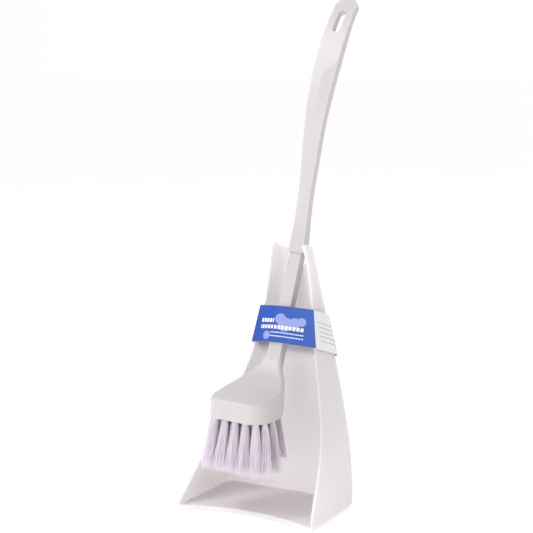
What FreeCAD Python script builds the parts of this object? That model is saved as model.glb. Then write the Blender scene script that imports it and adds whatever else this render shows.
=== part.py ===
"""Upright toilet tidy with a hanging brush: a tall open-fronted pan, a long-handled brush that
hooks over the pan's back wall, its tufts and tuft staples, and the printed band round both.

Drawing frame: X to the right, Y from the open front to the back, Z up, with Y = 0 at the front
corners of the pan's lip and Z = 0 on the floor.  Every sub-part is then moved by origin_y, so that
the finished part's origin is the bottom centre of its bounding box.
"""
import FreeCAD, Part
import math
import os
import Sketcher

V = FreeCAD.Vector

# ---------------------------------------------------------------------------------------------
# Driving dimensions, millimetres and degrees
# ---------------------------------------------------------------------------------------------
GENERAL = {
    "origin_y": 82.05,
    "wall": 1.9,
    "floor_thick": 4.0,
    "corner_radius": 9.0,
    "inner_radius": 7.1,
    "foot_radius": 4.0,
    "lip_recess": 13.0,
    "lip_corner": 62.0,
    "trim": 6.0,
    "crown_front": 226.0,
    "crown_top": 223.5,
    "crown_back": 217.0,
    "cradle_half": 10.5,
    "cradle_rest": 212.1,
    "throat_half": 6.5,
    "throat_floor": 201.0,
    "brush_roll": 3.0,
    "hook_height": 214.0,
    "ridge": 1.4,
    "socket_play": 0.15,
    "tip_length": 13.0,
    "slot_length": 24.0,
    "slot_width": 7.8,
    "slot_from_tip": 27.5,
    "flat_start": 372.0,
    "head_half": 28.0,
    "toe_front": -9.0,
    "toe_radius": 15.0,
    "head_round": 3.5,
    "tuft_radius": 2.0,
    "tuft_tip": 3.3,
    "tuft_play": 0.1,
    "tuft_length": 46.0,
    "tuft_socket": 8.0,
    "tuft_fan": 8.0,
    "row_pitch": 6.0,
    "row_start": -2.5,
    "tuft_pitch": 9.3,
    "staple_thick": 0.5,
    "staple_tall": 2.0,
    "sleeve_gap": 1.5,
    "sleeve_thick": 0.4,
    "sleeve_round": 9.0,
    "sleeve_tilt": 21.0,
    "sleeve_low": 136.0,
    "sleeve_wide": 32.0,
}

# Pan cross-sections, base to crown: height, front edge, half width at the front edge,
# back wall, half width at the back wall.
PAN_LEVELS = {
    "base": (0.0, -3.0, 66.0, 81.0, 64.0),
    "shin": (48.0, 28.0, 56.0, 88.0, 59.0),
    "waist": (100.0, 57.0, 40.0, 96.0, 47.0),
    "chest": (140.0, 70.0, 29.0, 98.6, 37.5),
    "neck": (178.0, 76.0, 23.0, 98.6, 27.0),
    "crown": (226.0, 73.5, 15.2, 94.5, 16.5),
}
PAN_FIELDS = ("height", "front", "half_front", "back", "half_back")

# Side view of the pan's front edge from below the lip to the crown: (y, z).
FRONT_EDGE = [(4.0, -1.0), (-1.6, 1.2), (-3.0, 5.5), (1.0, 12.4), (8.0, 21.0), (28.0, 48.0),
              (57.0, 100.0), (70.0, 140.0), (76.0, 178.0)]

# Grip sections, collar to tip: centre y, centre z, lean from the vertical, width, depth.
GRIP_LEVELS = {
    "collar": (92.6, 214.0, 17.0, 14.4, 12.4),
    "cuff": (95.8, 226.0, 13.0, 13.6, 11.6),
    "wrist": (99.4, 244.0, 10.5, 12.0, 9.8),
    "slim": (102.8, 263.0, 9.5, 11.6, 9.2),
    "lower": (108.4, 296.0, 10.0, 14.4, 9.0),
    "middle": (115.0, 331.0, 13.5, 18.0, 9.0),
    "upper": (126.0, 364.0, 23.0, 21.6, 9.0),
    "bend": (140.6, 394.5, 31.0, 22.6, 8.8),
    "tip": (171.0, 435.0, 38.0, 22.6, 8.2),
}
# Stem sections, head to the end of the tenon inside the grip.
STEM_LEVELS = {
    "root": (57.0, 119.0, 24.0, 14.0, 11.0),
    "throat": (64.0, 136.0, 20.5, 12.6, 11.0),
    "shaft": (78.0, 173.0, 20.0, 11.6, 10.4),
    "hook": (92.6, 214.0, 17.0, 11.0, 10.0),
}
TENON_LEVELS = {
    "shoulder": (92.6, 214.0, 17.0, 8.0, 6.6),
    "mid": (95.8, 226.0, 13.0, 7.6, 6.2),
    "end": (98.6, 240.0, 11.0, 7.0, 5.6),
}
SECTION_FIELDS = ("y", "z", "lean", "width", "depth")

# Side view of the brush head: top surface and underside, (y, z).
HEAD_TOP = [(-10.0, 101.5), (8.0, 103.5), (28.0, 107.5), (44.0, 115.5), (55.0, 127.0), (60.0, 136.0)]
HEAD_UNDER = [(-10.0, 85.0), (22.0, 85.4), (38.0, 88.0), (49.0, 95.0), (57.0, 108.0), (64.0, 126.0)]
# Plan of the brush head from the widest point to the neck: (x, y).
HEAD_SIDE = [(28.0, 14.0), (25.6, 30.0), (18.5, 45.0), (10.2, 56.0), (6.5, 66.0)]

TUFTS_PER_ROW = (5, 6, 5, 6, 5, 4, 3, 4)

doc = FreeCAD.newDocument("tidy_and_brush")
sheet = doc.addObject("Spreadsheet::Sheet", "dims")
SIZES = {}


def put(alias, value):
    """Write one named dimension into the next row of the sheet."""
    row = len(SIZES) + 1
    sheet.set("A%d" % row, alias)
    sheet.set("B%d" % row, "%g" % value)
    sheet.setAlias("B%d" % row, alias)
    SIZES[alias] = float(value)


def fill_sheet():
    for alias, value in GENERAL.items():
        put(alias, value)
    for level, values in PAN_LEVELS.items():
        for field, value in zip(PAN_FIELDS, values):
            put("pan_%s_%s" % (level, field), value)
    for family, levels in (("grip", GRIP_LEVELS), ("stem", STEM_LEVELS), ("tenon", TENON_LEVELS)):
        for level, values in levels.items():
            for field, value in zip(SECTION_FIELDS, values):
                put("%s_%s_%s" % (family, level, field), value)
    doc.recompute()


# ---------------------------------------------------------------------------------------------
# Helpers
# ---------------------------------------------------------------------------------------------
def plane(body, role):
    return [item for item in body.Origin.OriginFeatures if item.Role == role][0]


def new_sketch(body, name, role, offset=None):
    """A sketch attached to one of its own body's origin planes."""
    sketch = body.newObject("Sketcher::SketchObject", name)
    sketch.AttachmentSupport = [(plane(body, role), "")]
    sketch.MapMode = "FlatFace"
    if offset is not None:
        sketch.AttachmentOffset = offset
    return sketch


def polygon(sketch, corners):
    """Closed outline through corners, each given as (value, expression) for X and for Y."""
    points = [V(cx[0], cy[0], 0) for cx, cy in corners]
    count = len(points)
    for index in range(count):
        sketch.addGeometry(Part.LineSegment(points[index], points[(index + 1) % count]), False)
    for index in range(count):
        sketch.addConstraint(Sketcher.Constraint("Coincident", index, 2, (index + 1) % count, 1))
    for index, (cx, cy) in enumerate(corners):
        for kind, (value, expression) in (("DistanceX", cx), ("DistanceY", cy)):
            place = sketch.addConstraint(Sketcher.Constraint(kind, -1, 1, index, 1, value))
            sketch.setExpression("Constraints[%d]" % place, expression)


def round_corner(sketch, first, second, alias):
    """Round the corner between two sides of a polygon, with the corner itself still bound."""
    radius = SIZES[alias]
    one, two = sketch.Geometry[first], sketch.Geometry[second]
    sketch.fillet(first, second, one.value(one.FirstParameter * 0.5 + one.LastParameter * 0.5),
                  two.value(two.FirstParameter * 0.5 + two.LastParameter * 0.5), radius, 1, True)
    arc = max(i for i, item in enumerate(sketch.Geometry) if item.TypeId == "Part::GeomArcOfCircle")
    spot = sketch.addConstraint(Sketcher.Constraint("Radius", arc, radius))
    sketch.setExpression("Constraints[%d]" % spot, "dims.%s" % alias)


def spline(points):
    curve = Part.BSplineCurve()
    curve.interpolate([V(a, b, 0) for a, b in points])
    return curve


def closed_curve(sketch, pieces):
    """Outline made of curves and straight runs laid end to end."""
    for piece in pieces:
        sketch.addGeometry(piece, False)
    count = len(pieces)
    for index in range(count):
        sketch.addConstraint(Sketcher.Constraint("Coincident", index, 2, (index + 1) % count, 1))


def rounded(corners, radii):
    """Closed outline through corners as lines and tangent arcs; radii maps a corner to its radius."""
    points = [V(x, y, 0) for x, y in corners]
    count = len(points)
    trims = []
    for index, corner in enumerate(points):
        before = (points[index - 1] - corner).normalize()
        after = (points[(index + 1) % count] - corner).normalize()
        half = before.getAngle(after) / 2
        reach = radii.get(index, 0.0) / math.tan(half)
        middle = (before + after).normalize()
        bulge = radii.get(index, 0.0) * (1 / math.sin(half) - 1)
        trims.append((corner + before * reach, corner + middle * bulge, corner + after * reach))
    pieces = []
    for index in range(count):
        if index in radii:
            pieces.append(Part.Arc(*trims[index]))
        pieces.append(Part.LineSegment(trims[index][2], trims[(index + 1) % count][0]))
    return pieces


def crossing(points, at):
    """Second coordinate of the smooth curve through points, where the first one is at."""
    return spline(points).intersect(Part.Line(V(at, 0, 0), V(at, 1, 0)))[0].Y


def line(start, end):
    return Part.LineSegment(V(start[0], start[1], 0), V(end[0], end[1], 0))


def pocket(body, name, sketch, kind="ThroughAll", length=0.0, both=False, reversed_=False):
    """Cut a sketch out of the body, and make sure that it removed something."""
    before = body.Shape.Volume
    cut = body.newObject("PartDesign::Pocket", name)
    cut.Profile = sketch
    cut.Type = kind
    if kind == "Length":
        cut.Length = length
    cut.Midplane = both
    cut.Reversed = reversed_
    doc.recompute()
    if body.Shape.Volume >= before - 1.0:
        raise RuntimeError("%s cuts nothing" % name)
    return cut


def loft(body, name, sketches, kind="PartDesign::AdditiveLoft", ruled=False):
    feature = body.newObject(kind, name)
    feature.Profile = sketches[0]
    feature.Sections = sketches[1:]
    feature.Ruled = ruled
    doc.recompute()
    return feature


def fillet(body, name, radius_alias, choose):
    """Round the edges of the body's tip whose middle point satisfies choose(point, edge)."""
    base = body.Tip
    names = []
    for number, edge in enumerate(base.Shape.Edges, 1):
        middle = edge.valueAt((edge.FirstParameter + edge.LastParameter) / 2)
        if choose(middle, edge):
            names.append("Edge%d" % number)
    if not names:
        raise RuntimeError("%s finds no edge" % name)
    feature = body.newObject("PartDesign::Fillet", name)
    feature.Base = (base, names)
    feature.setExpression("Radius", "dims.%s" % radius_alias)
    doc.recompute()
    if not feature.Shape.isValid() or "Invalid" in feature.State:
        raise RuntimeError("%s failed on %s" % (name, names))
    return feature


def new_body(label):
    body = doc.addObject("PartDesign::Body", label)
    body.Label = label
    return body


def place(item, on_brush):
    """Move a sub-part to the row's origin; brush pieces also lean sideways about the hook."""
    roll = SIZES["brush_roll"] if on_brush else 0.0
    turn = FreeCAD.Rotation(V(0, 1, 0), roll)
    item.Placement = FreeCAD.Placement(V(0, -SIZES["origin_y"], 0), turn, V(0, 0, SIZES["hook_height"]))


# ---------------------------------------------------------------------------------------------
# Pan
# ---------------------------------------------------------------------------------------------
def pan_section(body, level, inner):
    """One level of the pan: four corners, the front pair run on past the front edge."""
    height, front, half_front, back, half_back = PAN_LEVELS[level]
    stem = "pan_%s_" % level
    slope = "(dims.%shalf_back - dims.%shalf_front) / (dims.%sback - dims.%sfront)" % ((stem,) * 4)
    gradient = (half_back - half_front) / (back - front)
    skin = SIZES["wall"] if inner else 0.0
    skin_text = " - dims.wall" if inner else ""
    reach = 5 * SIZES["trim"] if inner else SIZES["trim"]
    reach_text = "5 * dims.trim" if inner else "dims.trim"
    front_half = half_front - gradient * reach - skin
    front_half_text = "dims.%shalf_front - %s * %s%s" % (stem, slope, reach_text, skin_text)
    front_y = (front - reach, "dims.%sfront - %s" % (stem, reach_text))
    back_y = (back - skin, "dims.%sback%s" % (stem, skin_text))
    back_half_text = "dims.%shalf_back%s" % (stem, skin_text)
    sketch = new_sketch(body, "%s_%s" % ("cavity" if inner else "shell", level), "XY_Plane",
                        FreeCAD.Placement(V(0, 0, height), FreeCAD.Rotation()))
    sketch.setExpression("AttachmentOffset.Base.z", "dims.%sheight" % stem)
    polygon(sketch, [
        ((front_half, front_half_text), front_y),
        ((half_back - skin, back_half_text), back_y),
        ((skin - half_back, "-(%s)" % back_half_text), back_y),
        ((-front_half, "-(%s)" % front_half_text), front_y),
    ])
    doc.recompute()
    round_corner(sketch, 0, 1, "inner_radius" if inner else "corner_radius")
    round_corner(sketch, 1, 2, "inner_radius" if inner else "corner_radius")
    return sketch


def trim_front(body):
    """Cut the side walls' front edges to their curve, in side view."""
    sketch = new_sketch(body, "front_outline", "YZ_Plane")
    foot = FRONT_EDGE[0]
    crown = (SIZES["pan_crown_front"], SIZES["crown_front"])
    low = (-60.0, foot[1])
    high = (-60.0, crown[1] + 10.0)
    past = (crown[0], crown[1] + 10.0)
    closed_curve(sketch, [line(foot, low), line(low, high), line(high, past), line(past, crown),
                          spline([crown] + list(reversed(FRONT_EDGE)))])
    pocket(body, "front_trim", sketch, both=True)


def trim_crown(body):
    """Round the walls' tops down towards the back."""
    front, back = SIZES["pan_crown_front"], SIZES["pan_crown_back"] + 2
    top, low = SIZES["crown_top"], SIZES["crown_back"]
    sketch = new_sketch(body, "crown_outline", "YZ_Plane")
    start = (front - 4, top)
    end = (back, low)
    far = (back, top + 10)
    near = (front - 4, top + 10)
    closed_curve(sketch, [spline([start, (front + 9, top - 0.5), (front + 17, low + 2.8), end]),
                          line(end, far), line(far, near), line(near, start)])
    pocket(body, "crown_trim", sketch, both=True)


def cut_lip(body):
    """Recess the middle of the lip in plan."""
    corner, recess = SIZES["lip_corner"], SIZES["lip_recess"]
    front = SIZES["pan_base_front"]
    sketch = new_sketch(body, "lip_outline", "XY_Plane")
    bow = Part.Arc(V(corner, front - 1, 0), V(0, front + recess, 0), V(-corner, front - 1, 0))
    left, right = (-corner, front - 1), (corner, front - 1)
    closed_curve(sketch, [bow, line(left, (-corner, front - 30)), line((-corner, front - 30), (corner, front - 30)),
                          line((corner, front - 30), right)])
    pocket(body, "lip_trim", sketch, "Length", 12.0, reversed_=True)


def cut_cradle(body):
    """Dip in the back wall's top edge for the collar, with a slot below it for the shaft."""
    half, rest = SIZES["cradle_half"], SIZES["cradle_rest"]
    narrow, low = SIZES["throat_half"], SIZES["throat_floor"]
    high = SIZES["crown_front"] + 10
    sketch = new_sketch(body, "cradle_outline", "XZ_Plane",
                        FreeCAD.Placement(V(0, 0, -SIZES["pan_crown_back"] - 10), FreeCAD.Rotation()))
    corners = [(-half - 3, high), (-half, rest), (-narrow, rest), (-narrow, low),
               (narrow, low), (narrow, rest), (half, rest), (half + 3, high)]
    closed_curve(sketch, rounded(corners, {1: 3.0, 3: 5.5, 4: 5.5, 6: 3.0}))
    pocket(body, "cradle", sketch, "Length", 22.0, reversed_=True)


def build_pan():
    body = new_body("pan")
    loft(body, "shell", [pan_section(body, level, False) for level in PAN_LEVELS])
    cavity = [pan_section(body, level, True) for level in PAN_LEVELS]
    cavity[0].AttachmentOffset = FreeCAD.Placement(V(0, 0, SIZES["floor_thick"]), FreeCAD.Rotation())
    cavity[0].setExpression("AttachmentOffset.Base.z", "dims.floor_thick")
    loft(body, "cavity", cavity, "PartDesign::SubtractiveLoft")
    fillet(body, "foot_round", "foot_radius",
           lambda point, edge: edge.BoundBox.ZMax < 0.1 and edge.BoundBox.YMax > 0)
    trim_front(body)
    trim_crown(body)
    cut_lip(body)
    cut_cradle(body)
    place(body, False)
    return body


# ---------------------------------------------------------------------------------------------
# Grip and stem: lofts through five-sided sections with a ridge down the front
# ---------------------------------------------------------------------------------------------
def handle_section(body, family, level, grow=None):
    """One section across the handle, square to its centre line, larger all round by grow."""
    stem = "%s_%s_" % (family, level)
    y, z, lean = (SIZES[stem + field] for field in ("y", "z", "lean"))
    sketch = new_sketch(body, "%s_%s_section" % (family, level), "XY_Plane",
                        FreeCAD.Placement(V(0, y, z), FreeCAD.Rotation(V(1, 0, 0), -lean)))
    sketch.setExpression("AttachmentOffset.Base.y", "dims.%sy" % stem)
    sketch.setExpression("AttachmentOffset.Base.z", "dims.%sz" % stem)
    extra = SIZES[grow] if grow else 0.0
    more = " + dims.%s" % grow if grow else ""
    half = SIZES[stem + "width"] / 2 + extra
    deep = SIZES[stem + "depth"] / 2 + extra
    half_text = "dims.%swidth / 2%s" % (stem, more)
    deep_text = "dims.%sdepth / 2%s" % (stem, more)
    ridge = SIZES["ridge"]
    polygon(sketch, [
        ((0.0, "0"), (-deep, "-(%s)" % deep_text)),
        ((half, half_text), (ridge - deep, "dims.ridge - (%s)" % deep_text)),
        ((half, half_text), (deep, deep_text)),
        ((-half, "-(%s)" % half_text), (deep, deep_text)),
        ((-half, "-(%s)" % half_text), (ridge - deep, "dims.ridge - (%s)" % deep_text)),
    ])
    return sketch


def tip_plane(name, body):
    """A sketch square to the thickness of the grip's tip: X across, Y up the grip."""
    y, z, lean = (SIZES["grip_tip_" + field] for field in ("y", "z", "lean"))
    turn = FreeCAD.Rotation(V(1, 0, 0), 90 - lean)
    return new_sketch(body, name, "XY_Plane", FreeCAD.Placement(V(0, y, z), turn))


def round_tip(body):
    half, long = SIZES["grip_tip_width"] / 2, SIZES["tip_length"]
    sketch = tip_plane("tip_outline", body)
    wide, high = half + 2, 4.0
    crest = [(half * math.cos(a), -long + long * math.sin(a)) for a in
             [math.radians(15 * step) for step in range(13)]]
    start, end = (wide, -long), (-wide, -long)
    closed_curve(sketch, [line(start, crest[0]), spline(crest), line(crest[-1], end), line(end, (-wide, high)),
                          line((-wide, high), (wide, high)), line((wide, high), start)])
    pocket(body, "tip_round", sketch, "Length", 40.0, both=True)


def cut_slot(body):
    """Hanging slot through the tip."""
    long, wide, down = SIZES["slot_length"], SIZES["slot_width"], SIZES["slot_from_tip"]
    sketch = tip_plane("slot_outline", body)
    reach, half = (long - wide) / 2, wide / 2
    top, low = -down + reach, -down - reach
    closed_curve(sketch, [line((half, low), (half, top)),
                          Part.Arc(V(half, top, 0), V(0, top + half, 0), V(-half, top, 0)),
                          line((-half, top), (-half, low)),
                          Part.Arc(V(-half, low, 0), V(0, low - half, 0), V(half, low, 0))])
    pocket(body, "hanging_slot", sketch, "Length", 40.0, both=True)


def flatten_front(body):
    """Plane away the ridge near the tip, which leaves a flat face ending in a point below."""
    start, ridge = SIZES["flat_start"], SIZES["ridge"]
    sketch = new_sketch(body, "flat_outline", "YZ_Plane")
    rows = [GRIP_LEVELS[level] for level in ("lower", "middle", "upper", "bend", "tip")]
    face = []
    for z, proud in ((start - 5.0, 0.5), (start + 7.0, -0.9 * ridge), (395.0, -0.9 * ridge),
                     (415.0, -0.9 * ridge), (435.0, -0.9 * ridge)):
        y = crossing([(row[1], row[0]) for row in rows], z)
        lean = math.radians(crossing([(row[1], row[2]) for row in rows], z))
        out = crossing([(row[1], row[4]) for row in rows], z) / 2 + proud
        face.append((y - out * math.cos(lean), z + out * math.sin(lean)))
    tip = face[-1]
    beyond = (tip[0] + 10, tip[1] + 12)
    face.append(beyond)
    far = (face[0][0] - 25, beyond[1])
    near = (face[0][0] - 25, face[0][1])
    closed_curve(sketch, [spline(face), line(beyond, far), line(far, near), line(near, face[0])])
    pocket(body, "flat_front", sketch, both=True)


def build_grip():
    body = new_body("grip")
    loft(body, "grip_loft", [handle_section(body, "grip", level) for level in GRIP_LEVELS])
    loft(body, "socket", [handle_section(body, "tenon", level, "socket_play") for level in TENON_LEVELS],
         "PartDesign::SubtractiveLoft")
    flatten_front(body)
    round_tip(body)
    cut_slot(body)
    place(body, True)
    return body


def vertical(edge):
    box = edge.BoundBox
    return box.XLength + box.YLength < 0.01


def outline_half(points, sign):
    return [(sign * x, y) for x, y in points]


def side_cut(body, name, curve, z_far):
    """Cut everything between a side-view curve and the height z_far."""
    sketch = new_sketch(body, name + "_outline", "YZ_Plane")
    first, last = curve[0], curve[-1]
    closed_curve(sketch, [spline(curve), line(last, (last[0] + 20, last[1])),
                          line((last[0] + 20, last[1]), (last[0] + 20, z_far)),
                          line((last[0] + 20, z_far), (first[0] - 10, z_far)),
                          line((first[0] - 10, z_far), (first[0] - 10, first[1])),
                          line((first[0] - 10, first[1]), first)])
    pocket(body, name, sketch, both=True)


def rim_under(y):
    """Height of the head's underside at a given depth."""
    return crossing(HEAD_UNDER, y)


def tuft_sites(row):
    """Where the tufts of one row stand: (x, y)."""
    count = TUFTS_PER_ROW[row]
    y = SIZES["row_start"] + SIZES["row_pitch"] * row
    return [((index - (count - 1) / 2) * SIZES["tuft_pitch"], y) for index in range(count)]


def build_head():
    """Brush block, neck and shaft in one moulding, with a blind hole for each tuft."""
    body = new_body("brush_head")
    half, front, radius = SIZES["head_half"], SIZES["toe_front"], SIZES["toe_radius"]
    plan = new_sketch(body, "plan", "XY_Plane", FreeCAD.Placement(V(0, 0, 82), FreeCAD.Rotation()))
    toe = half - radius
    corner = radius * (1 - math.sqrt(0.5))
    flank = HEAD_SIDE
    right = spline(flank)
    left = spline(outline_half(list(reversed(flank)), -1))
    closed_curve(plan, [
        line((-toe, front), (toe, front)),
        Part.Arc(V(toe, front, 0), V(half - corner, front + corner, 0), V(half, front + radius, 0)),
        line((half, front + radius), flank[0]),
        right,
        line(flank[-1], (-flank[-1][0], flank[-1][1])),
        left,
        line((-half, flank[0][1]), (-half, front + radius)),
        Part.Arc(V(-half, front + radius, 0), V(corner - half, front + corner, 0), V(-toe, front, 0)),
    ])
    pad = body.newObject("PartDesign::Pad", "block")
    pad.Profile = plan
    pad.Length = 60.0
    doc.recompute()
    side_cut(body, "top_surface", HEAD_TOP, 150.0)
    fillet(body, "top_round", "head_round",
           lambda point, edge: point.z > 95 and edge.BoundBox.YMax < 61 and not vertical(edge)
           and (abs(point.x) > 5 or point.y < 0))
    side_cut(body, "underside", HEAD_UNDER, 70.0)
    for row in range(len(TUFTS_PER_ROW)):
        sites = tuft_sites(row)
        under = rim_under(sites[0][1])
        holes = new_sketch(body, "holes_%d" % (row + 1), "XY_Plane",
                           FreeCAD.Placement(V(0, 0, under - 3), FreeCAD.Rotation()))
        for x, y in sites:
            holes.addGeometry(Part.Circle(V(x, y, 0), V(0, 0, 1), SIZES["tuft_radius"] + SIZES["tuft_play"]))
        pocket(body, "row_holes_%d" % (row + 1), holes, "Length", 3 + SIZES["tuft_socket"], reversed_=True)
    loft(body, "stem_loft", [handle_section(body, "stem", level) for level in STEM_LEVELS])
    loft(body, "tenon_loft", [handle_section(body, "tenon", level) for level in TENON_LEVELS])
    place(body, True)
    return body


# ---------------------------------------------------------------------------------------------
# Tufts and their staples: one node per row, a separate solid per hole
# ---------------------------------------------------------------------------------------------
def add(kind, name, **values):
    item = doc.addObject(kind, name)
    for key, value in values.items():
        if isinstance(value, str):
            item.setExpression(key, value)
        else:
            setattr(item, key, value)
    return item


def build_row(row):
    tufts, staples = [], []
    for number, (x, y) in enumerate(tuft_sites(row), 1):
        tag = "%d_%d" % (row + 1, number)
        under = rim_under(y)
        roof = under + SIZES["tuft_socket"]
        root = add("Part::Cylinder", "root_" + tag, Radius="dims.tuft_radius", Height="dims.tuft_socket")
        root.Placement = FreeCAD.Placement(V(x, y, under), FreeCAD.Rotation())
        fan = math.radians(SIZES["tuft_fan"])
        out = V(x / SIZES["head_half"], (y - 16.0) / SIZES["head_half"], 0)
        lean = FreeCAD.Rotation(V(0, 0, -1), V(math.sin(fan) * out.x, math.sin(fan) * out.y, -1))
        brush = add("Part::Cone", "brush_" + tag, Radius1="dims.tuft_radius - 0.4",
                    Radius2="dims.tuft_tip", Height="dims.tuft_length + 1.5")
        down = FreeCAD.Rotation(V(1, 0, 0), 180)
        brush.Placement = FreeCAD.Placement(V(x, y, under + 1.5), lean.multiply(down))
        gap = add("Part::Box", "gap_" + tag, Length=12.0, Width="dims.staple_thick + 0.1",
                  Height="dims.staple_tall + 1")
        gap.Placement = FreeCAD.Placement(
            V(x - 6, y - SIZES["staple_thick"] / 2 - 0.05, roof - SIZES["staple_tall"]), FreeCAD.Rotation())
        whole = add("Part::Fuse", "whole_" + tag, Base=root, Tool=brush)
        tufts.append(add("Part::Cut", "tuft_" + tag, Base=whole, Tool=gap))
        staple = add("Part::Box", "staple_" + tag, Length="2 * dims.tuft_radius - 0.3",
                     Width="dims.staple_thick", Height="dims.staple_tall")
        staple.Placement = FreeCAD.Placement(
            V(x - SIZES["tuft_radius"] + 0.15, y - SIZES["staple_thick"] / 2, roof - SIZES["staple_tall"]),
            FreeCAD.Rotation())
        staples.append(staple)
    groups = []
    for label, items in (("tuft_row_%d" % (row + 1), tufts), ("staple_row_%d" % (row + 1), staples)):
        group = doc.addObject("Part::Compound", label)
        group.Label = label
        group.Links = items
        place(group, True)
        groups.append(group)
    return groups


# ---------------------------------------------------------------------------------------------
# Printed band round the pan and the stem
# ---------------------------------------------------------------------------------------------
def pan_at(height):
    """Front edge, half width there, back wall and half width there, at one height."""
    levels = list(PAN_LEVELS.values())
    found = [crossing([(level[0], level[field]) for level in levels], height) for field in (2, 3, 4)]
    edge = [(z, y) for y, z in FRONT_EDGE[3:]] + [(SIZES["crown_front"], SIZES["pan_crown_front"])]
    return [crossing(edge, height)] + found


def stem_front(height):
    """Front of the stem at one height."""
    rows = sorted((level[1], level[0] - level[4] / 2 / math.cos(math.radians(level[2])))
                  for level in STEM_LEVELS.values())
    return crossing(rows, height)


def band_point(base, y, tilt):
    """Height of a plane that falls towards the back at the angle tilt."""
    return base - (y - 70.0) * math.tan(tilt)


def settle(base, tilt, reading):
    """Depth and height where a plane of the band meets a line of the object."""
    height = base
    for _ in range(12):
        y = reading(height)
        height = band_point(base, y, tilt)
    return y, height


def band_loop(base, grow):
    """Corners of the band round the object in one of its planes, as (x, y)."""
    tilt = math.radians(SIZES["sleeve_tilt"])
    gap = SIZES["sleeve_gap"] + grow
    front_y, front_z = settle(base, tilt, lambda z: pan_at(z)[0])
    back_y, back_z = settle(base, tilt, lambda z: pan_at(z)[2])
    stem_y, stem_z = settle(base, tilt, stem_front)
    half_front = pan_at(front_z)[1] + gap
    half_back = pan_at(back_z)[3] + gap
    stem_x = (stem_z - SIZES["hook_height"]) * math.tan(math.radians(SIZES["brush_roll"]))
    stem_half = SIZES["stem_throat_width"] / 2 - 1.0
    front_y -= gap
    back_y += gap
    stem_y -= gap
    flat = 1 / math.cos(tilt)
    return [(half_front, (front_y - 70) * flat), (half_back, (back_y - 70) * flat),
            (-half_back, (back_y - 70) * flat), (-half_front, (front_y - 70) * flat),
            (stem_x - stem_half, (stem_y - 70) * flat), (stem_x + stem_half, (stem_y - 70) * flat)]


def build_sleeve():
    body = new_body("sleeve")
    tilt = SIZES["sleeve_tilt"]
    rise = SIZES["sleeve_wide"] / math.cos(math.radians(tilt))
    for name, grow, kind in (("band", SIZES["sleeve_thick"], "PartDesign::AdditiveLoft"),
                             ("room", 0.0, "PartDesign::SubtractiveLoft")):
        sections = []
        for step, base in enumerate((SIZES["sleeve_low"], SIZES["sleeve_low"] + rise)):
            sketch = new_sketch(body, "%s_%d" % (name, step), "XY_Plane",
                                FreeCAD.Placement(V(0, 70, base), FreeCAD.Rotation(V(1, 0, 0), -tilt)))
            corner = SIZES["sleeve_round"] + grow
            closed_curve(sketch, rounded(band_loop(base, grow), {1: corner, 2: corner}))
            sections.append(sketch)
        loft(body, name, sections, kind, True)
    place(body, False)
    return body


def finish(parts):
    """Check every object and sub-part, then write one file per sub-part."""
    doc.recompute()
    for item in doc.Objects:
        if "Invalid" in item.State or "Error" in item.State:
            raise RuntimeError("%s is %s" % (item.Name, item.State))
    for part in parts:
        if part.Shape.isNull() or not part.Shape.isValid():
            raise RuntimeError("%s has no valid shape" % part.Label)
    os.makedirs("parts", exist_ok=True)
    for part in parts:
        part.Shape.exportStep("parts/%s.step" % part.Label)
        box = part.Shape.BoundBox
        print("%-14s %2d solids %9.1f mm3  x %.1f %.1f  y %.1f %.1f  z %.1f %.1f" % (
            part.Label, len(part.Shape.Solids), part.Shape.Volume,
            box.XMin, box.XMax, box.YMin, box.YMax, box.ZMin, box.ZMax))


fill_sheet()
made = [build_pan(), build_sleeve(), build_grip(), build_head()]
for row_index in range(len(TUFTS_PER_ROW)):
    made.extend(build_row(row_index))
finish(made)
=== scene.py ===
import math
import random

import bpy
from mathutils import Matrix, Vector


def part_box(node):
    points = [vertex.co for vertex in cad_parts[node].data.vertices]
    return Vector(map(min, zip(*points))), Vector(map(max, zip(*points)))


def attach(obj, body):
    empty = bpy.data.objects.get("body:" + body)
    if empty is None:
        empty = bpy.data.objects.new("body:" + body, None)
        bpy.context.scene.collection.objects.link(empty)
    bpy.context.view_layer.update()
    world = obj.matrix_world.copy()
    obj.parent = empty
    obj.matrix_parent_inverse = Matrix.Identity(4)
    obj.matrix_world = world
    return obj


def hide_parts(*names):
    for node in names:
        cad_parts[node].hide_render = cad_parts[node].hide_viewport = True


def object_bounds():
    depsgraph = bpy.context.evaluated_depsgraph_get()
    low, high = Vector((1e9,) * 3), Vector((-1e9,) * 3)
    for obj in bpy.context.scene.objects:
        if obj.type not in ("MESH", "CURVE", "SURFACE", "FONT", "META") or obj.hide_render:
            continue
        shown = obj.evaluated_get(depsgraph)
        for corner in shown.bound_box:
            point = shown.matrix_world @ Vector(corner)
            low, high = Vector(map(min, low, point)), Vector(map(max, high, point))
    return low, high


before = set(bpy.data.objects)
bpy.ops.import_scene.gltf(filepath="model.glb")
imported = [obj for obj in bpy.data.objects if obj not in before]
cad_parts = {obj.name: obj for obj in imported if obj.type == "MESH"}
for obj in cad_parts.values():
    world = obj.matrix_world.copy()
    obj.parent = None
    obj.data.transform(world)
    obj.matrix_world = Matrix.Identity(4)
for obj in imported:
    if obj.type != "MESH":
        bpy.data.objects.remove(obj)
cad_low, cad_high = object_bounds()

MM = 0.001
SEED = 7

# Camera: where it stands, which way it looks, and its lens and sensor in millimetres.
CAMERA_PLACE = Vector((0.5454, -1.02565, 0.3720))
CAMERA_LOOK = Vector((-0.48101, 0.86490, -0.14349))
CAMERA_LENS = 91.35
SENSOR = 36.0

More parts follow.
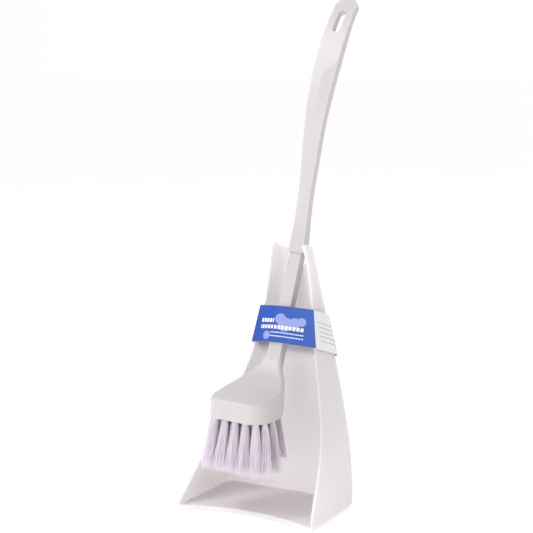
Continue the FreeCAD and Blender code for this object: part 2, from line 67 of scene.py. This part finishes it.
# Filaments of the brush. Spreads are measured sideways from the tuft's own middle line.
TUFT_ROWS = 8
FILAMENTS_PER_TUFT = 130
FILAMENT_RADIUS = 0.19 * MM
FILAMENT_THINNING = 0.35
FILAMENT_SIDES = 4
FILAMENT_RINGS = 8
ROOT_SPREAD = 1.8 * MM
TIP_SPREAD = 6.2 * MM
SPREAD_POWER = 0.62
BURIED = 0.15
SHORTEST = 0.94
LONGEST = 0.995
STRAY = 0.9 * MM
GOLDEN_ANGLE = math.pi * (3 - math.sqrt(5))
END_BAND = 1.2 * MM
SAME_PLACE_DIGITS = 6

# The band: how far it tilts, in degrees, and how much a face must point forward to be its front.
BAND_TILT = 21.0
FRONT_FACING = -0.45
BAND_WHITE = (0.86, 0.86, 0.88, 1)
BAND_BLUE_DARK = (0.008, 0.055, 0.36, 1)
BAND_BLUE_LIGHT = (0.014, 0.10, 0.48, 1)
BAND_PALE = (0.28, 0.33, 0.70, 1)
BAND_GREY = (0.34, 0.34, 0.40, 1)
BAND_PATCH_BLUE = (0.012, 0.05, 0.30, 1)

# Pale discs on the band's front, in millimetres: middle, height above its foot, radius.
PALE_DISCS = (
    (-2.0, 22.0, 5.0),
    (3.0, 17.0, 6.5),
    (11.0, 19.0, 5.0),
    (17.0, 21.0, 4.0),
    (-14.0, 6.0, 4.0),
)

# Rows of plain blocks on the band's front, in millimetres: middle, height, half length, half
# thickness, pitch, and the share of the pitch that is filled.
BLOCK_ROWS = (
    (-15.0, 20.0, 7.0, 1.8, 3.1, 0.72),
    (-1.0, 14.0, 21.0, 1.7, 3.4, 0.74),
    (5.0, 9.0, 15.0, 0.5, 1.9, 0.70),
    (5.0, 5.6, 15.0, 0.5, 2.3, 0.70),
)

# Grey lines on the band's sides, in millimetres: heights, half thickness, and where they start
# and end, from the band's front edge.
SIDE_LINES = (8.0, 12.0, 16.0, 20.0, 24.0)
SIDE_LINE_HALF = 0.5
SIDE_LINE_START = 17
SIDE_LINE_END = 36
SIDE_LINE_STRENGTH = 0.55

# Blue patch at the band's back, in millimetres: how far forward it comes and how high it reaches.
PATCH_DEPTH = 8
PATCH_HEIGHT = 14

# The floor that the object stands on, and how strongly it glows.
FLOOR_HALF = 60.0
FLOOR_DROP = 0.2 * MM
FLOOR_GLOW = 0.28

# Brightness of the studio in the middle, and how it changes towards the back.
STUDIO_LEVEL = 0.72
STUDIO_SLOPE = 0.36
STUDIO_TINT = (1.0, 0.99, 0.99, 1)


# ---------------------------------------------------------------------------------------------
# Material helpers
# ---------------------------------------------------------------------------------------------
class Nodes:
    """A short way to write a node tree."""

    def __init__(self, name):
        self.material = bpy.data.materials.new(name)
        self.material.use_nodes = True
        self.tree = self.material.node_tree
        self.shader = self.tree.nodes["Principled BSDF"]
        self.where = self.tree.nodes.new("ShaderNodeTexCoord")

    def put(self, socket, value):
        if isinstance(value, bpy.types.NodeSocket):
            self.tree.links.new(value, socket)
        else:
            socket.default_value = value

    def math(self, operation, first, second=0.0):
        node = self.tree.nodes.new("ShaderNodeMath")
        node.operation = operation
        self.put(node.inputs[0], first)
        self.put(node.inputs[1], second)
        return node.outputs[0]

    def mix(self, amount, first, second):
        node = self.tree.nodes.new("ShaderNodeMix")
        node.data_type = "RGBA"
        self.put(node.inputs["Factor"], amount)
        self.put(node.inputs["A"], first)
        self.put(node.inputs["B"], second)
        return node.outputs["Result"]

    def noise(self, scale, detail=2.0, stretch=(1.0, 1.0, 1.0)):
        place = self.tree.nodes.new("ShaderNodeMapping")
        place.inputs["Scale"].default_value = stretch
        self.put(place.inputs["Vector"], self.where.outputs["Object"])
        node = self.tree.nodes.new("ShaderNodeTexNoise")
        node.inputs["Scale"].default_value = scale
        node.inputs["Detail"].default_value = detail
        self.put(node.inputs["Vector"], place.outputs["Vector"])
        return node.outputs[0]

    def span(self, value, low, high):
        """Scale a 0 to 1 value to low to high."""
        return self.math("ADD", self.math("MULTIPLY", value, high - low), low)

    def axes(self, output="Object"):
        node = self.tree.nodes.new("ShaderNodeSeparateXYZ")
        self.put(node.inputs[0], self.where.outputs[output])
        return node.outputs

    def both(self, first, second):
        return self.math("MULTIPLY", first, second)

    def between(self, value, low, high):
        return self.both(self.math("GREATER_THAN", value, low), self.math("LESS_THAN", value, high))

    def bump(self, height, strength, distance):
        node = self.tree.nodes.new("ShaderNodeBump")
        node.inputs["Strength"].default_value = strength
        node.inputs["Distance"].default_value = distance
        self.put(node.inputs["Height"], height)
        self.put(self.shader.inputs["Normal"], node.outputs["Normal"])

    def finish(self, color, roughness):
        self.put(self.shader.inputs["Base Color"], color)
        self.put(self.shader.inputs["Roughness"], roughness)
        return self.material


class BandPrint(Nodes):
    """Where each printed shape lies on the band. Lengths are in millimetres, heights from its foot."""

    def __init__(self, name):
        super().__init__(name)
        self.low, self.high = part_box("sleeve")
        self.x, self.y, z = self.axes()
        self.front = self.math("LESS_THAN", self.axes("Normal")["Y"], FRONT_FACING)
        self.side = self.math("SUBTRACT", 1.0, self.front)
        slope = math.tan(math.radians(BAND_TILT))
        self.level = self.math("ADD", z, self.math("MULTIPLY", self.y, slope))
        self.foot = self.low.z + self.high.y * slope

    def rows(self, low, high):
        return self.between(self.level, self.foot + low * MM, self.foot + high * MM)

    def disc(self, middle, height, radius):
        across = self.math("SUBTRACT", self.x, middle * MM)
        rise = self.math("SUBTRACT", self.level, self.foot + height * MM)
        reach = self.math("ADD", self.math("POWER", across, 2.0), self.math("POWER", rise, 2.0))
        return self.both(self.math("LESS_THAN", reach, (radius * MM) ** 2), self.front)

    def blocks(self, middle, height, half, thick, pitch, share):
        step = self.math("FRACT", self.math("DIVIDE", self.x, pitch * MM))
        length = self.between(self.x, (middle - half) * MM, (middle + half) * MM)
        filled = self.both(self.math("LESS_THAN", step, share), length)
        return self.both(self.both(filled, self.rows(height - thick, height + thick)), self.front)

    def side_line(self, height):
        row = self.rows(height - SIDE_LINE_HALF, height + SIDE_LINE_HALF)
        start, end = self.low.y + SIDE_LINE_START * MM, self.low.y + SIDE_LINE_END * MM
        return self.both(self.both(row, self.between(self.y, start, end)), self.side)

    def back_patch(self):
        behind = self.math("GREATER_THAN", self.y, self.high.y - PATCH_DEPTH * MM)
        below = self.math("LESS_THAN", self.level, self.foot + PATCH_HEIGHT * MM)
        return self.both(self.both(behind, below), self.side)


# ---------------------------------------------------------------------------------------------
# Materials
# ---------------------------------------------------------------------------------------------
def plastic(name, light, dark, subsurface):
    """Satin moulded plastic: faint mottling, uneven gloss, a very fine grain."""
    nodes = Nodes(name)
    mottle = nodes.noise(scale=14.0, detail=3.0)
    grain = nodes.noise(scale=900.0)
    gloss = nodes.noise(scale=60.0)
    nodes.shader.inputs["Subsurface Weight"].default_value = subsurface
    nodes.shader.inputs["Subsurface Scale"].default_value = 9 * MM
    nodes.shader.inputs["Subsurface Radius"].default_value = (1.0, 0.93, 0.93)
    nodes.shader.inputs["Specular IOR Level"].default_value = 0.45
    nodes.bump(grain, strength=0.12, distance=0.1 * MM)
    return nodes.finish(nodes.mix(mottle, dark, light), nodes.span(gloss, low=0.28, high=0.42))


def bristle():
    """Nylon filament, streaked along its length."""
    nodes = Nodes("bristle")
    streak = nodes.noise(scale=400.0, stretch=(1.0, 1.0, 0.04))
    dark, light = (0.93, 0.84, 0.95, 1), (1.0, 0.95, 1.0, 1)
    nodes.bump(streak, strength=0.15, distance=0.05 * MM)
    return nodes.finish(nodes.mix(streak, dark, light), nodes.span(streak, low=0.35, high=0.55))


def staple():
    """Drawn steel wire with a fine uneven grain."""
    nodes = Nodes("staple_wire")
    grain = nodes.noise(scale=500.0, detail=3.0)
    dark, light = (0.42, 0.42, 0.42, 1), (0.68, 0.68, 0.68, 1)
    nodes.shader.inputs["Metallic"].default_value = 1.0
    nodes.bump(grain, strength=0.2, distance=0.05 * MM)
    return nodes.finish(nodes.mix(grain, dark, light), nodes.span(grain, low=0.25, high=0.45))


def printed_paper():
    """Blue front with pale discs and plain blocks; white sides with grey lines and a blue patch."""
    band = BandPrint("printed_paper")
    tone = band.noise(scale=35.0, detail=3.0)
    blue = band.mix(tone, BAND_BLUE_DARK, BAND_BLUE_LIGHT)
    color = band.mix(band.front, BAND_WHITE, blue)
    for disc in PALE_DISCS:
        color = band.mix(band.disc(*disc), color, BAND_PALE)
    for row in BLOCK_ROWS:
        color = band.mix(band.blocks(*row), color, BAND_WHITE)
    for height in SIDE_LINES:
        faint = band.math("MULTIPLY", band.side_line(height), SIDE_LINE_STRENGTH)
        color = band.mix(faint, color, BAND_GREY)
    color = band.mix(band.back_patch(), color, BAND_PATCH_BLUE)
    band.bump(band.noise(scale=350.0, detail=3.0), strength=0.1, distance=0.1 * MM)
    return band.finish(color, band.span(tone, low=0.32, high=0.48))


# ---------------------------------------------------------------------------------------------
# Brush filaments, which stand for the solid tufts
# ---------------------------------------------------------------------------------------------
def tuft_ends(node):
    """Root and tip centre of each separate tuft of a row."""
    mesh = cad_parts[node].data
    group = list(range(len(mesh.vertices)))

    def top(index):
        while group[index] != index:
            group[index] = group[group[index]]
            index = group[index]
        return index

    seen = {}
    for vertex in mesh.vertices:
        key = tuple(round(c, SAME_PLACE_DIGITS) for c in vertex.co)
        group[top(vertex.index)] = top(seen.setdefault(key, vertex.index))
    for edge in mesh.edges:
        group[top(edge.vertices[0])] = top(edge.vertices[1])
    tufts = {}
    for vertex in mesh.vertices:
        tufts.setdefault(top(vertex.index), []).append(vertex.co)
    for points in tufts.values():
        high = max(p.z for p in points)
        low = min(p.z for p in points)
        roots = [p for p in points if p.z > high - END_BAND]
        tips = [p for p in points if p.z < low + END_BAND]
        yield sum(roots, Vector()) / len(roots), sum(tips, Vector()) / len(tips)


def around(angle):
    return Vector((math.cos(angle), math.sin(angle), 0))


def fan(part):
    """How far a filament has spread at this share of its length, once it is out of the head."""
    free = max(0.0, (part - BURIED) / (1 - BURIED))
    return ROOT_SPREAD + (TIP_SPREAD - ROOT_SPREAD) * free ** SPREAD_POWER


def filament(root, tip, number, chance, vertices, faces):
    """A thin tapering tube from a tuft's root to its fanned end, with a slight bow."""
    share = math.sqrt((number + 0.5) / FILAMENTS_PER_TUFT)
    out = around(number * GOLDEN_ANGLE) * share
    reach = chance.uniform(SHORTEST, LONGEST)
    end = root + (tip - root) * reach
    stray = Vector((chance.gauss(0, 1), chance.gauss(0, 1), 0)) * STRAY
    base = len(vertices)
    for ring in range(FILAMENT_RINGS):
        part = ring / (FILAMENT_RINGS - 1)
        centre = root.lerp(end, part) + out * fan(part) + stray * part * part
        thick = FILAMENT_RADIUS * (1.0 - FILAMENT_THINNING * part)
        for side in range(FILAMENT_SIDES):
            vertices.append(centre + around(2 * math.pi * side / FILAMENT_SIDES) * thick)
    for ring in range(FILAMENT_RINGS - 1):
        for side in range(FILAMENT_SIDES):
            here = base + ring * FILAMENT_SIDES + side
            beside = base + ring * FILAMENT_SIDES + (side + 1) % FILAMENT_SIDES
            faces.append((here, here + FILAMENT_SIDES, beside + FILAMENT_SIDES, beside))
    last = base + (FILAMENT_RINGS - 1) * FILAMENT_SIDES
    faces.append(tuple(range(base, base + FILAMENT_SIDES)))
    faces.append(tuple(reversed(range(last, last + FILAMENT_SIDES))))


def build_filaments(row, material):
    node = "tuft_row_%d" % row
    chance = random.Random(SEED + row)
    vertices, faces = [], []
    for root, tip in tuft_ends(node):
        for number in range(FILAMENTS_PER_TUFT):
            filament(root, tip, number, chance, vertices, faces)
    mesh = bpy.data.meshes.new("filaments_%d" % row)
    mesh.from_pydata(vertices, [], faces)
    mesh.update()
    for polygon in mesh.polygons:
        polygon.use_smooth = True
    mesh.materials.append(material)
    piece = bpy.data.objects.new("filaments_%d" % row, mesh)
    bpy.context.scene.collection.objects.link(piece)
    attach(piece, "brush")
    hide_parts(node)


# ---------------------------------------------------------------------------------------------
# Dressing the CAD pieces
# ---------------------------------------------------------------------------------------------
def dress(node, material):
    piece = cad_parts[node]
    if not piece.material_slots:
        piece.data.materials.append(material)
    for place in piece.material_slots:
        place.material = material


def dress_frame():
    pan_plastic = plastic("pan_plastic", light=(0.86, 0.81, 0.82, 1), dark=(0.83, 0.78, 0.79, 1),
                          subsurface=0.85)
    brush_plastic = plastic("brush_plastic", light=(0.61, 0.575, 0.58, 1), dark=(0.58, 0.545, 0.55, 1),
                            subsurface=0.2)
    bristle_look = bristle()
    staple_look = staple()
    dress("pan", pan_plastic)
    dress("grip", brush_plastic)
    dress("brush_head", brush_plastic)
    dress("sleeve", printed_paper())
    for row in range(1, TUFT_ROWS + 1):
        dress("staple_row_%d" % row, staple_look)
        build_filaments(row, bristle_look)


# ---------------------------------------------------------------------------------------------
# Floor, light and camera
# ---------------------------------------------------------------------------------------------
def build_floor():
    half = FLOOR_HALF
    corners = [(-half, -half, 0), (half, -half, 0), (half, half, 0), (-half, half, 0)]
    mesh = bpy.data.meshes.new("floor")
    mesh.from_pydata(corners, [], [(0, 1, 2, 3)])
    nodes = Nodes("floor")
    nodes.shader.inputs["Emission Color"].default_value = (1.0, 1.0, 1.0, 1)
    nodes.shader.inputs["Emission Strength"].default_value = FLOOR_GLOW
    tone = nodes.mix(nodes.noise(scale=2.0), (0.94, 0.94, 0.94, 1), (0.96, 0.96, 0.96, 1))
    mesh.materials.append(nodes.finish(tone, roughness=0.7))
    floor = bpy.data.objects.new("floor", mesh)
    floor.location.z = -FLOOR_DROP
    bpy.context.scene.collection.objects.link(floor)


def add_light(name, azimuth, elevation, distance, size, watts):
    """Area light aimed at the middle of the object; azimuth 0 is in front, positive to the right."""
    target = (cad_low + cad_high) / 2
    turn, rise = math.radians(azimuth), math.radians(elevation)
    toward = Vector((math.sin(turn) * math.cos(rise), -math.cos(turn) * math.cos(rise), math.sin(rise)))
    data = bpy.data.lights.new(name, "AREA")
    data.shape = "DISK"
    data.size = size
    data.energy = watts
    light = bpy.data.objects.new(name, data)
    light.location = target + toward * distance
    light.rotation_euler = (-toward).to_track_quat("-Z", "Y").to_euler()
    bpy.context.scene.collection.objects.link(light)


def build_camera():
    data = bpy.data.cameras.new("camera")
    data.lens = CAMERA_LENS
    data.sensor_width = SENSOR
    camera = bpy.data.objects.new("camera", data)
    camera.location = CAMERA_PLACE
    camera.rotation_euler = CAMERA_LOOK.to_track_quat("-Z", "Y").to_euler()
    bpy.context.scene.collection.objects.link(camera)
    bpy.context.scene.camera = camera


def build_world():
    """A pale studio, brightest behind the object and dimmest in front, where the fill light is."""
    world = bpy.data.worlds.new("world")
    world.use_nodes = True
    tree = world.node_tree
    background = tree.nodes["Background"]
    background.inputs["Color"].default_value = STUDIO_TINT
    where = tree.nodes.new("ShaderNodeTexCoord")
    split = tree.nodes.new("ShaderNodeSeparateXYZ")
    slope = tree.nodes.new("ShaderNodeMath")
    slope.operation = "MULTIPLY_ADD"
    slope.inputs[1].default_value = STUDIO_SLOPE
    slope.inputs[2].default_value = STUDIO_LEVEL
    tree.links.new(where.outputs["Generated"], split.inputs[0])
    tree.links.new(split.outputs["Y"], slope.inputs[0])
    tree.links.new(slope.outputs[0], background.inputs["Strength"])
    bpy.context.scene.world = world


dress_frame()
build_floor()
add_light("key", azimuth=-45.0, elevation=52.0, distance=1.6, size=0.8, watts=9.0)
add_light("fill", azimuth=-6.0, elevation=10.0, distance=1.8, size=1.6, watts=13.0)
build_world()
build_camera()
bpy.context.scene.view_settings.view_transform = "Standard"
